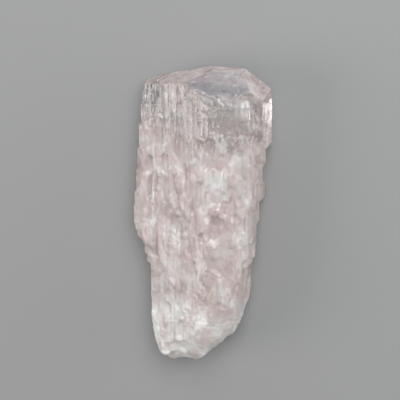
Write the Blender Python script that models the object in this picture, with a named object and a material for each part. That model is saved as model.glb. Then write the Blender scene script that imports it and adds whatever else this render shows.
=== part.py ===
"""Danburite crystal, lying on its flat back.

The crystal is one solid: a bundle of parallel growth bars along +Y, with a roof
of flat end faces at +Y and a broken, rounded base at -Y. +X runs across it and
+Z through it, from the flat back that it rests on to the edge of its front.
Sizes are in millimetres until a mesh is made, and then in metres.
"""

import math
import random
from dataclasses import dataclass

import bmesh
import bpy
from mathutils import Matrix, Vector, noise

MM = 0.001
BEYOND = 60.0

# Danburite's axial ratio a : b : c. Here b runs across (X), c along (Y) and a through (Z).
AXIS_A = 0.5444
AXIS_B = 1.0
AXIS_C = 0.4807

# Driving sizes: the front edge where the two big prism faces meet, the ridge and the core's sides
FRONT_EDGE = (4.7, 13.8)
RIDGE_Y = 29.6
CORE_LEFT_X = -9.5
CORE_RIGHT_X = 8.6
BACK_EDGE_X = -2.4

# End faces: the flat strip along the ridge and where the faces beside it start
STRIP_FRONT_Z = 7.9
STRIP_BACK_Z = 4.1
LEFT_END_POINT = (-2.1, 27.75, 9.9)
LEFT_END_NORMAL = (-0.287, 0.952, 0.107)
RIGHT_END_POINT = (10.2, 27.9, 9.7)

# The broken base: its outline from the front (x, y), and how it rounds towards front and back
BREAK_OUTLINE = (
    (-16.0, -5.0),
    (-10.6, -14.5),
    (-9.7, -21.6),
    (-8.8, -26.6),
    (-7.6, -29.0),
    (-6.2, -29.9),
    (-3.4, -29.6),
    (1.0, -28.1),
    (4.6, -25.5),
    (7.5, -22.2),
    (9.1, -18.4),
    (10.1, -13.2),
    (16.0, -1.0),
)
BREAK_MID_Z = 6.6
BREAK_ROUNDING = 3.6
BREAK_LIP = 4.6
BREAK_LIP_DEPTH = 4.0
BREAK_LIP_X = -7.5
BREAK_STEP = 0.95
BREAK_LEDGE = 1.3

CREST_RISE = 0.37
CREST_Z = 13.4
GAP = 0.05
MIDDLE = (0.07, -0.15)
COLOR = (0.62, 0.53, 0.51, 1.0)
ROUGHNESS = 0.2
SEED = 7


@dataclass
class Bar:
    """A growth bar: sides, front above the prism face, back, ends along Y and their slope."""

    left: float
    right: float
    rise: float
    back: float
    low: float
    high: float
    skew: float = 0.0


# Bars that widen the left edge, and then those that widen the right side
LEFT_BARS = (
    Bar(-10.4, -7.5, -0.12, 3.6, -10.0, BEYOND, 0.09),
    Bar(-10.8, -9.0, 0.1, 3.7, -8.2, 24.1, -0.09),
    Bar(-11.2, -8.4, 0.26, 3.5, -6.3, 21.6, 0.14),
    Bar(-11.6, -7.9, 0.5, 3.6, -5.4, 17.7, -0.14),
    Bar(-12.0, -8.2, 0.72, 3.3, -5.1, 12.8, 0.09),
    Bar(-12.35, -9.6, 0.86, 3.2, -4.7, 8.6, -0.09),
    Bar(-12.65, -10.7, 0.98, 3.3, -3.6, 4.1, 0.14),
    Bar(-12.9, -11.6, 1.06, 3.5, -2.2, 1.2, -0.14),
)
RIGHT_BARS = (
    Bar(4.0, 9.1, -0.15, 0.3, -14.6, BEYOND, 0.09),
    Bar(5.0, 9.65, 0.12, 0.5, -10.2, BEYOND, -0.09),
    Bar(5.0, 10.2, -0.1, 0.4, -5.8, BEYOND, 0.14),
    Bar(6.0, 10.75, 0.1, 0.8, -1.4, BEYOND, -0.14),
    Bar(6.0, 11.3, -0.2, 0.6, 4.6, BEYOND, 0.09),
    Bar(6.4, 11.8, -0.1, 0.7, 10.3, BEYOND, -0.09),
    Bar(7.0, 12.8, -0.3, 0.5, 15.0, BEYOND, 0.05),
)


def face_normal(h, k, l):
    """Outward normal of the crystal face (h k l)."""
    return Vector((k / AXIS_B, l / AXIS_C, h / AXIS_A)).normalized()


FRONT_LEFT = face_normal(1, -1, 0)
FRONT_RIGHT = face_normal(1, 1, 0)
BACK_LEFT = face_normal(-1, -1, 0)
LEFT = Vector((-1, 0, 0))
RIGHT = Vector((1, 0, 0))
FRONT = Vector((0, 0, 1))
BACK = Vector((0, 0, -1))
UP = Vector((0, 1, 0))
DOWN = Vector((0, -1, 0))


def across(x, z):
    """A point of the crystal's cross-section."""
    return Vector((x, 0, z))


def convex(planes):
    """The closed body inside all the planes, each a point and an outward normal."""
    body = bmesh.new()
    bmesh.ops.create_cube(body, size=2 * BEYOND)
    for point, normal in planes:
        cut = bmesh.ops.bisect_plane(
            body,
            geom=body.verts[:] + body.edges[:] + body.faces[:],
            plane_co=point,
            plane_no=normal,
            clear_outer=True,
        )
        ring = [item for item in cut["geom_cut"] if isinstance(item, bmesh.types.BMEdge)]
        if len(ring) > 2:
            bmesh.ops.edgeloop_fill(body, edges=ring)
    bmesh.ops.recalc_face_normals(body, faces=body.faces)
    return body


def gather(bodies):
    """Moves the bodies into one mesh."""
    bm = bmesh.new()
    for body in bodies:
        copies = {vert: bm.verts.new(vert.co) for vert in body.verts}
        for face in body.faces:
            bm.faces.new([copies[vert] for vert in face.verts])
        body.free()
    return bm


def box(body):
    """The lowest and highest corner of the body."""
    low = Vector(min(vert.co[axis] for vert in body.verts) for axis in range(3))
    high = Vector(max(vert.co[axis] for vert in body.verts) for axis in range(3))
    return low, high


def apart(first, second):
    """True if two bodies' boxes don't reach each other."""
    low, high = first
    bottom, top = second
    return any(low[i] > top[i] + GAP or high[i] < bottom[i] - GAP for i in range(3))


def sort_apart(bodies):
    """Sorts the bodies into groups in which none reaches another."""
    groups = []
    for body in bodies:
        limits = box(body)
        for group in groups:
            if all(apart(limits, other) for _, other in group):
                group.append((body, limits))
                break
        else:
            groups.append([(body, limits)])
    return [gather([body for body, _ in group]) for group in groups]


def make_object(name, bm):
    """Makes an object of bm and leaves bm empty."""
    bmesh.ops.scale(bm, vec=(MM, MM, MM), verts=bm.verts)
    mesh = bpy.data.meshes.new(name)
    bm.to_mesh(mesh)
    bm.free()
    made = bpy.data.objects.new(name, mesh)
    bpy.context.scene.collection.objects.link(made)
    return made


def make_helper(name, bm):
    """Makes an object that only shapes another."""
    helper = make_object(name, bm)
    helper.hide_render = True
    helper.display_type = "WIRE"
    return helper


def shape(target, helper, operation, solver="MANIFOLD"):
    """Shapes the target by a Boolean with the helper, whose bodies cross each other only if it is exact."""
    modifier = target.modifiers.new(helper.name, "BOOLEAN")
    modifier.operation = operation
    modifier.object = helper
    modifier.solver = solver
    modifier.use_self = solver == "EXACT"


def core():
    """The bar that all the others grow on, longer than the crystal at both ends."""
    edge = across(*FRONT_EDGE)
    return convex(
        (
            (edge, FRONT_LEFT),
            (edge, FRONT_RIGHT),
            (across(CORE_LEFT_X, 0), LEFT),
            (across(CORE_RIGHT_X, 0), RIGHT),
            (across(BACK_EDGE_X, 0), BACK_LEFT),
            (across(0, -1.0), BACK),
            (Vector((0, -36.0, 0)), DOWN),
            (Vector((0, 36.0, 0)), UP),
        )
    )


def side_bars():
    """The bars that widen the crystal's left edge and right side."""
    edge = across(*FRONT_EDGE)
    bodies = []
    for side, bars in ((-1, LEFT_BARS), (1, RIGHT_BARS)):
        front = face_normal(1, side, 0)
        for bar in bars:
            outer = bar.left if side < 0 else bar.right
            planes = [
                (edge + front * bar.rise, front),
                (across(bar.left, 0), LEFT),
                (across(bar.right, 0), RIGHT),
                (Vector((outer, bar.low, 5.0)), Vector((side * 0.5, -1.0, bar.skew)).normalized()),
                (Vector((outer, bar.high, 5.0)), Vector((side * 0.6, 1.0, bar.skew)).normalized()),
            ]
            if side < 0:
                planes.append((across(bar.left, bar.back), BACK_LEFT))
                planes.append((across(0, 0.4), BACK))
            else:
                planes.append((across(bar.right, bar.back + 0.6), face_normal(-1, 2, 0)))
                planes.append((across(0, bar.back), BACK))
            bodies.append(convex(planes))
    return gather(bodies)


# Steps of the front that stand out: face, place along it and y, half width, half length, height
STEPS = (
    ("front_left", -9.7, -8.2, 1.5, 5.2, 0.6),
    ("front_left", -12.1, 2.9, 0.8, 2.0, 0.45),
    ("front_left", -3.4, 6.4, 1.6, 4.0, 0.4),
    ("front_right", 0.3, -11.3, 1.5, 3.3, 0.6),
    ("front_right", 0.6, 9.0, 1.3, 2.7, 0.45),
)

# Bands of thin ribs near the end faces: face, where along it, lowest y, half lengths, how many
STRIATIONS = (
    ("front_left", -16.4, -6.6, 19.0, (2.5, 6.0), 24),
    ("front_right", 3.9, 8.8, 20.5, (0.9, 3.0), 14),
)

# Chips: a face's normal, the middle of the chip on it, and its radii across, along and into the face
CHIPS = (
    ("front_left", (-0.5, 26.5, 11.2), (1.2, 2.0, 0.9)),
    ("front_right", (9.7, 25.8, 11.3), (2.6, 1.6, 0.9)),
    ("crest", (6.3, 25.5, 12.6), (1.5, 1.1, 0.6)),
    ("front_right", (11.9, 17.5, 9.9), (0.9, 2.4, 0.7)),
    ("front_right", (5.4, -22.6, 13.2), (3.8, 2.7, 1.5)),
    ("front_left", (-2.2, -26.2, 10.2), (3.2, 2.3, 1.3)),
    ("front_left", (-8.6, -18.4, 6.6), (1.2, 2.6, 0.8)),
)


@dataclass
class Ground:
    """A face that hills and pits lie on: a point, its outward normal and the band they fill."""

    point: Vector
    normal: Vector
    start: float
    end: float
    low: float
    high: float


def block(ground, along, y, half_width, half_length, height, rng):
    """A low hill (height above 0) or the cutter of an etch pit (below 0) on the ground."""
    tangent = ground.normal.cross(UP).normalized()
    if tangent.x < 0 or (abs(tangent.x) < 0.01 and tangent.z < 0):
        tangent = -tangent
    middle = ground.point + tangent * along
    middle.y = y
    hill = height > 0
    lean = 1.0 if hill else -1.0
    top = height if hill else rng.uniform(2.4, 2.8)
    bottom = rng.uniform(-1.6, -1.1) if hill else height
    planes = [
        (middle + ground.normal * top, ground.normal),
        (middle + ground.normal * bottom, -ground.normal),
    ]
    if hill and ground.normal.z > 0:
        other = FRONT_RIGHT if ground.normal.x < 0 else FRONT_LEFT
        planes.append((across(*FRONT_EDGE) + other * CREST_RISE, other))
    for way in (-1, 1):
        wall = tangent * way + ground.normal * lean * rng.uniform(0.2, 1.1)
        wall += UP * rng.uniform(-0.08, 0.08)
        planes.append((middle + tangent * way * half_width, wall.normalized()))
        for turn in (-1, 1):
            end = UP * way + ground.normal * lean * rng.uniform(0.5, 1.3)
            end += tangent * turn * rng.uniform(0.25, 1.3)
            planes.append((middle + UP * way * half_length, end.normalized()))
    return convex(planes)


def scatter(ground, count, widths, lengths, heights, rng):
    """Hills or pits scattered over the ground."""
    bodies = []
    for _ in range(count):
        along = rng.uniform(ground.start, ground.end)
        y = rng.uniform(ground.low, ground.high)
        half_width = rng.uniform(*widths)
        half_length = rng.uniform(*lengths)
        bodies.append(block(ground, along, y, half_width, half_length, rng.uniform(*heights), rng))
    return bodies


def grounds():
    """The faces that carry hills and pits."""
    edge = across(*FRONT_EDGE)
    return {
        "crest": Ground(across(FRONT_EDGE[0], CREST_Z), FRONT, -1.6, 1.6, -25.0, 17.0),
        "front_left": Ground(edge, FRONT_LEFT, -15.6, 0.3, -28.0, 18.0),
        "front_right": Ground(edge, FRONT_RIGHT, -0.3, 6.4, -26.0, 19.0),
        "right_low": Ground(across(9.2, 5.6), RIGHT, -4.0, 4.4, -17.0, -8.0),
        "right_middle": Ground(across(10.5, 5.6), RIGHT, -4.0, 4.4, -6.0, 2.5),
        "right_high": Ground(across(11.5, 5.6), RIGHT, -4.0, 4.0, 5.5, 13.5),
        "right_top": Ground(across(12.8, 5.6), RIGHT, -4.0, 3.0, 16.5, 21.5),
        "back_left": Ground(across(BACK_EDGE_X, 0), BACK_LEFT, -8.0, -0.6, -26.0, 24.0),
        "back": Ground(across(3.0, 0), BACK, -4.0, 7.0, -25.0, 25.0),
    }


def hills(rng):
    """Low growth hills on the faces, and the steps of the front that stand out."""
    ground = grounds()
    bodies = [block(ground[name], *sizes, rng) for name, *sizes in STEPS]
    for name, start, end, low, lengths, count in STRIATIONS:
        face = ground[name]
        band = Ground(face.point, face.normal, start, end, low, 25.5)
        bodies += scatter(band, count, (0.1, 0.28), lengths, (0.06, 0.15), rng)
    bodies += scatter(ground["front_left"], 74, (0.4, 1.2), (1.2, 4.2), (0.08, 0.36), rng)
    bodies += scatter(ground["front_right"], 36, (0.4, 1.1), (1.2, 3.8), (0.08, 0.34), rng)
    for name in ("right_low", "right_middle", "right_high", "right_top"):
        bodies += scatter(ground[name], 5, (0.5, 1.3), (1.2, 3.4), (0.08, 0.28), rng)
    bodies += scatter(ground["back_left"], 16, (0.5, 1.2), (1.5, 4.5), (0.08, 0.3), rng)
    return bodies


def pits(rng):
    """What is etched out of the faces."""
    ground = grounds()
    bodies = scatter(ground["crest"], 11, (0.7, 1.9), (1.5, 4.2), (-0.7, -0.15), rng)
    bodies += scatter(ground["front_left"], 46, (0.25, 0.7), (0.8, 3.0), (-0.45, -0.12), rng)
    bodies += scatter(ground["front_right"], 24, (0.25, 0.7), (0.8, 2.8), (-0.45, -0.12), rng)
    for name in ("right_low", "right_middle", "right_high"):
        bodies += scatter(ground[name], 3, (0.3, 0.7), (0.8, 2.2), (-0.4, -0.15), rng)
    bodies += scatter(ground["back_left"], 10, (0.3, 0.7), (0.8, 3.0), (-0.4, -0.15), rng)
    bodies += scatter(ground["back"], 16, (0.3, 1.0), (0.8, 3.0), (-0.35, -0.12), rng)
    return bodies


def chips():
    """What chipped off the edges of the end faces and off the base."""
    ground = grounds()
    bm = bmesh.new()
    for name, middle, radii in CHIPS:
        normal = ground[name].normal
        turn = Matrix((UP.cross(normal), UP, normal)).transposed().to_4x4()
        place = Matrix.Translation(middle) @ turn @ Matrix.Diagonal((*radii, 1.0))
        ball = bmesh.ops.create_icosphere(bm, subdivisions=3, radius=1.0)["verts"]
        for vert in ball:
            vert.co *= 1.0 + 0.32 * noise.noise(vert.co * 1.5 + place.translation)
        bmesh.ops.transform(bm, matrix=place, verts=ball)
    return bm


def roof():
    """All that lies under the end faces and above the flat back."""
    strip_front = Vector((0, RIDGE_Y, STRIP_FRONT_Z))
    strip_back = Vector((0, RIDGE_Y, STRIP_BACK_Z))
    return convex(
        (
            (strip_front, UP),
            (strip_front, face_normal(1, 0, 1)),
            (strip_back, face_normal(-2, 0, 1)),
            (Vector(LEFT_END_POINT), Vector(LEFT_END_NORMAL).normalized()),
            (Vector(RIGHT_END_POINT), face_normal(0, 2, 1)),
            (across(0, 0), BACK),
            (Vector((0, -50.0, 0)), DOWN),
        )
    )


def outline_y(x):
    """Where the broken base lies at x, seen from the front."""
    for (x0, y0), (x1, y1) in zip(BREAK_OUTLINE, BREAK_OUTLINE[1:]):
        if x <= x1:
            return y0 + (y1 - y0) * max(0.0, x - x0) / (x1 - x0)
    return BREAK_OUTLINE[-1][1]


def break_point(x, z):
    """A point of the broken surface."""
    seed = Vector((x, 3.0, z))
    x += 0.45 * noise.noise(seed * 0.9)
    z += 0.45 * noise.noise(seed * 0.9 + Vector((9, 9, 9)))
    depth = FRONT_EDGE[1] - abs(x - FRONT_EDGE[0]) * AXIS_A - z
    lip = BREAK_LIP * max(0.0, 1.0 - max(0.0, depth) / BREAK_LIP_DEPTH) ** 2
    lip *= min(1.0, max(0.0, (x - BREAK_LIP_X) / BREAK_LIP_DEPTH))
    rounding = lip + BREAK_ROUNDING * ((z - BREAK_MID_Z) / 7.0) ** 2
    y = outline_y(x) + rounding + 1.1 * noise.noise(seed * 0.22) + 0.7 * noise.noise(seed * 0.6)
    ledge = y / BREAK_LEDGE
    step = math.floor(ledge)
    return Vector((x, BREAK_LEDGE * (step + min(1.0, 1.9 * (ledge - step))), z))


def broken_base():
    """What broke away from the base."""
    bm = bmesh.new()
    columns = round(32.0 / BREAK_STEP)
    rows = round(22.0 / BREAK_STEP)
    grid = []
    for i in range(columns + 1):
        x = -16.0 + 32.0 * i / columns
        grid.append([bm.verts.new(break_point(x, -4.0 + 22.0 * j / rows)) for j in range(rows + 1)])
    for i in range(columns):
        for j in range(rows):
            corners = (grid[i][j], grid[i][j + 1], grid[i + 1][j + 1], grid[i + 1][j])
            bm.faces.new(corners[:3])
            bm.faces.new((corners[0], corners[2], corners[3]))
    rim = [edge for edge in bm.edges if edge.is_boundary]
    wall = bmesh.ops.extrude_edge_only(bm, edges=rim)["geom"]
    for vert in (item for item in wall if isinstance(item, bmesh.types.BMVert)):
        vert.co.y = -48.0
    bottom = [item for item in wall if isinstance(item, bmesh.types.BMEdge) and item.is_boundary]
    bmesh.ops.edgeloop_fill(bm, edges=bottom)
    bmesh.ops.recalc_face_normals(bm, faces=bm.faces)
    return bm


def material():
    """Pale pink, partly milky crystal."""
    made = bpy.data.materials.new("danburite")
    made.use_nodes = True
    shader = made.node_tree.nodes["Principled BSDF"]
    shader.inputs["Base Color"].default_value = COLOR
    shader.inputs["Roughness"].default_value = ROUGHNESS
    shader.inputs["Metallic"].default_value = 0.0
    return made


def build():
    """Builds the crystal."""
    rng = random.Random(SEED)
    crystal = make_object("danburite_crystal", core())
    crystal.data.materials.append(material())
    shape(crystal, make_helper("side_bars", side_bars()), "UNION", "EXACT")
    for number, group in enumerate(sort_apart(hills(rng))):
        shape(crystal, make_helper(f"hills_{number}", group), "UNION")
    for number, group in enumerate(sort_apart(pits(rng))):
        shape(crystal, make_helper(f"pits_{number}", group), "DIFFERENCE")
    shape(crystal, make_helper("roof", roof()), "INTERSECT")
    shape(crystal, make_helper("broken_base", broken_base()), "DIFFERENCE")
    shape(crystal, make_helper("chips", chips()), "DIFFERENCE")
    for made in bpy.data.objects:
        made.location = (-MIDDLE[0] * MM, -MIDDLE[1] * MM, 0)


for old in list(bpy.data.objects):
    bpy.data.objects.remove(old)
build()
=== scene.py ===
"""A danburite crystal that lies on its flat back on a pale floor.

The crystal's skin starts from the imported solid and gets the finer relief: etched
hillocks, growth lines and the ledges of the broken base. One finish runs from clear
at the end faces to milky at the base. Lengths are in millimetres, in the frame of
the solid, but for the lamps and the floor, which are in metres.
"""

import logging
import math
import random
from collections.abc import Iterator
from contextlib import contextmanager
from dataclasses import dataclass

import bmesh
import bpy
import numpy as np
from mathutils import Matrix, Vector, noise


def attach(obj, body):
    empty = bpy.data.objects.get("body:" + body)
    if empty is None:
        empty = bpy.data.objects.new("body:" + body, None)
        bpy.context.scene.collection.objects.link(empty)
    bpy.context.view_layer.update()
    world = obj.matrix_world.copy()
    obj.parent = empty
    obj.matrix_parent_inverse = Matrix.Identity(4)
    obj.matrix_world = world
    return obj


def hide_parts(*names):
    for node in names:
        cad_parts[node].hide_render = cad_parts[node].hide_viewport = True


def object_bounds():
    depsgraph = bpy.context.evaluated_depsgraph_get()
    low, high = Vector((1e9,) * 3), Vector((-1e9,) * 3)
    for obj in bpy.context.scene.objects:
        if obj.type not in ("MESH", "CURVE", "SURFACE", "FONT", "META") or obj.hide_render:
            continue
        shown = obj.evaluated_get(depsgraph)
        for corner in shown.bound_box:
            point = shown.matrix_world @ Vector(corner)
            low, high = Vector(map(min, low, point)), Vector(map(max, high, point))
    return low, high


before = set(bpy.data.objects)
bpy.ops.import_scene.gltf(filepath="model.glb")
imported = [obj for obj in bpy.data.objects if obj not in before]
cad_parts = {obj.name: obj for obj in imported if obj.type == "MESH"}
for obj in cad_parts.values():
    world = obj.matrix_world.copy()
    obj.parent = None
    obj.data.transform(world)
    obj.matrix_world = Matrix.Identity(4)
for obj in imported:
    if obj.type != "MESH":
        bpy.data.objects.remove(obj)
SOLID_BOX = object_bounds()

LOG = logging.getLogger("danburite")
MM = 0.001
WELD = 1e-6
BUMP_DEPTH = 0.0002
MIDDLE = 0.5
WHITE = (1.0, 1.0, 1.0, 1.0)

Pair = tuple[float, float]
Triple = tuple[float, float, float]
Step = tuple[float, ...]
Values = dict[str | int, object]


class Wire:
    """An output socket of a shader node, which Python's operators work on."""

    def __init__(self, tree: "Nodes", socket: bpy.types.NodeSocket | None) -> None:
        """Keeps the socket and the tree that it belongs to."""
        self.tree = tree
        self.socket = socket

    def math(self, operation: str, *values: "Wire | float") -> "Wire":
        """Adds one Math node."""
        return self.tree.node("ShaderNodeMath", {"operation": operation}, dict(enumerate(values)))

    def __add__(self, other: "Wire | float") -> "Wire":
        """Adds."""
        return self.math("ADD", self, other)

    def __radd__(self, other: float) -> "Wire":
        """Adds to a number."""
        return self.math("ADD", other, self)

    def __sub__(self, other: "Wire | float") -> "Wire":
        """Takes away."""
        return self.math("SUBTRACT", self, other)

    def __rsub__(self, other: float) -> "Wire":
        """Takes away from a number."""
        return self.math("SUBTRACT", other, self)

    def __mul__(self, other: "Wire | float") -> "Wire":
        """Multiplies."""
        return self.math("MULTIPLY", self, other)

    def __rmul__(self, other: float) -> "Wire":
        """Multiplies a number."""
        return self.math("MULTIPLY", other, self)

    def high(self, other: "Wire | float") -> "Wire":
        """The larger of the two."""
        return self.math("MAXIMUM", self, other)

    def low(self, other: "Wire | float") -> "Wire":
        """The smaller of the two."""
        return self.math("MINIMUM", self, other)

    def clamped(self) -> "Wire":
        """The value, kept between 0 and 1."""
        return self.high(0.0).low(1.0)

    def span(self, start: float, end: float, first: float = 0.0, last: float = 1.0) -> "Wire":
        """Follows a smooth step.

        Args:
            start: The value at which the step begins.
            end: The value at which it ends.
            first: What comes out before it.
            last: What comes out after it.

        Returns:
            The stepped value.
        """
        return self.tree.node(
            "ShaderNodeMapRange",
            {"interpolation_type": "SMOOTHSTEP"},
            {"Value": self, "From Min": start, "From Max": end, "To Min": first, "To Max": last},
        )


class Nodes:
    """A material's node tree, and the point on the surface that it starts from, in millimetres."""

    def __init__(self, name: str) -> None:
        """Makes the material with no more than that point."""
        self.material = bpy.data.materials.new(name)
        self.material.use_nodes = True
        self.tree = self.material.node_tree
        self.tree.nodes.clear()
        here = self.node("ShaderNodeTexCoord", output="Object")
        self.place = self.vector("SCALE", {"Vector": here, "Scale": 1 / MM})

    @staticmethod
    def find(sockets: bpy.types.bpy_prop_collection, key: str | int) -> bpy.types.NodeSocket:
        """Finds a socket.

        Args:
            sockets: A node's inputs or outputs.
            key: The socket's index, identifier or name.

        Returns:
            The socket.
        """
        if isinstance(key, int):
            return sockets[key]
        for socket in sockets:
            if socket.identifier == key:
                return socket
        return sockets[key]

    def node(
        self,
        kind: str,
        settings: Values | None = None,
        inputs: Values | None = None,
        output: str | int = 0,
    ) -> Wire:
        """Adds a node.

        Args:
            kind: The node's type.
            settings: Its properties.
            inputs: A value or a wire for each input that isn't left as it is.
            output: The output to go on from.

        Returns:
            That output.
        """
        node = self.tree.nodes.new(kind)
        for key, value in (settings or {}).items():
            setattr(node, key, value)
        for key, value in (inputs or {}).items():
            socket = self.find(node.inputs, key)
            if isinstance(value, Wire):
                self.tree.links.new(value.socket, socket)
            else:
                socket.default_value = value
        if not node.outputs:
            return Wire(self, None)
        return Wire(self, self.find(node.outputs, output))

    def vector(self, operation: str, inputs: Values) -> Wire:
        """Adds one Vector Math node."""
        return self.node("ShaderNodeVectorMath", {"operation": operation}, inputs)

    def height(self) -> Wire:
        """How far up the crystal the place is."""
        return self.node("ShaderNodeSeparateXYZ", None, {0: self.place}, "Y")

    def stretch(self, along: float) -> Wire:
        """The place, scaled along the crystal."""
        return self.vector("MULTIPLY", {0: self.place, 1: (1.0, along, 1.0)})

    def cells(self, place: Wire, scale: float) -> Wire:
        """Cells, each with a colour of its own."""
        return self.node("ShaderNodeTexVoronoi", None, {"Vector": place, "Scale": scale}, "Color")

    def seams(self, place: Wire, scale: float, width: float) -> Wire:
        """Thin lines between the cells."""
        settings = {"feature": "DISTANCE_TO_EDGE"}
        away = self.node("ShaderNodeTexVoronoi", settings, {"Vector": place, "Scale": scale}, "Distance")
        return away.span(0.0, width, 1.0, 0.0)

    def sway(self, color: Wire, amount: Wire | float) -> Wire:
        """Turns a random colour into a random way, of up to half the amount."""
        way = self.vector("SUBTRACT", {0: color, 1: (MIDDLE, MIDDLE, MIDDLE)})
        return self.vector("SCALE", {"Vector": way, "Scale": amount})

    def warp(self, place: Wire, scale: float, amount: float) -> Wire:
        """Bends the place by noise, by up to half the amount."""
        swirl = self.node("ShaderNodeTexNoise", None, {"Vector": place, "Scale": scale}, "Color")
        return self.vector("ADD", {0: place, 1: self.sway(swirl, amount)})

    def blend(self, factor: Wire, first: Wire | Triple, second: Wire | Triple) -> Wire:
        """Mixes two colours, by how much of the second there is."""
        colors = [c if isinstance(c, Wire) else (*c, 1.0) for c in (first, second)]
        inputs = {"Factor_Float": factor, "A_Color": colors[0], "B_Color": colors[1]}
        return self.node("ShaderNodeMix", {"data_type": "RGBA"}, inputs, "Result_Color")

    def bump(self, inputs: Values) -> Wire:
        """Raises the surface a little by its shading alone."""
        return self.node("ShaderNodeBump", None, {"Distance": BUMP_DEPTH, **inputs}, "Normal")

    def field(self, name: str) -> Wire:
        """A value that the mesh carries at its points."""
        return self.node("ShaderNodeAttribute", {"attribute_name": name}, output="Fac")

    def principled(self, inputs: Values) -> Wire:
        """Adds one Principled BSDF."""
        return self.node("ShaderNodeBsdfPrincipled", None, inputs)

    def finish(self, shaders: Values) -> bpy.types.Material:
        """Closes the tree with its surface, and its volume if it has one."""
        self.node("ShaderNodeOutputMaterial", None, shaders)
        return self.material


@dataclass(frozen=True)
class Grain:
    """Soft noise on a finish: waves per millimetre, their scale along the crystal, and their detail.

    A step says what a noise or another value runs between, and what comes out.
    """

    scale: float
    along: float = 1.0
    detail: float = 2.0
    roughness: float = 0.5
    step: Step = ()

    def read(self, nodes: Nodes) -> Wire:
        """Adds the noise to a material.

        Args:
            nodes: The material's nodes.

        Returns:
            The noise, from 0 to 1 around its middle, or what comes out of its step.
        """
        inputs = {"Scale": self.scale, "Detail": self.detail, "Roughness": self.roughness}
        inputs["Vector"] = nodes.stretch(self.along)
        fog = nodes.node("ShaderNodeTexNoise", None, inputs, "Fac")
        return fog.span(*self.step) if self.step else fog


@dataclass(frozen=True)
class Spot:
    """What several parts of the crystal's finish read at a spot of the skin."""

    nodes: Nodes
    bent: Wire
    etch: Wire
    rugged: Wire
    grain: Wire
    speck: Wire


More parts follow.
